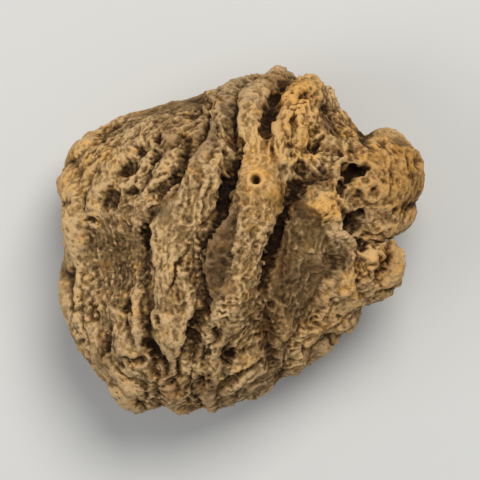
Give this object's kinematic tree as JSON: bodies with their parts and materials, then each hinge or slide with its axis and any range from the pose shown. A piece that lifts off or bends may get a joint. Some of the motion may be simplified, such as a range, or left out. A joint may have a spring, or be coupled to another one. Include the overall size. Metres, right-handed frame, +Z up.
{
  "type": "dried jalap root",
  "caption": "Whole dried jalap root, a hard rounded tuber with deep wrinkled folds, dark furrows, side knobs and rotted holes, lying on a small flat spot.",
  "frame": {"origin": "under the middle of the root, on the surface that it rests on", "axes": "+X towards the knobs, +Y towards the crown, +Z up, as seen from above in the picture"},
  "size_m": [0.0443, 0.042, 0.0268],
  "materials": {
    "bark": "matt dry bark, ochre on the crests and dark brown in the furrows"
  },
  "bodies": {
    "root": {"jalap_root": "bark"}
  },
  "joints": []
}
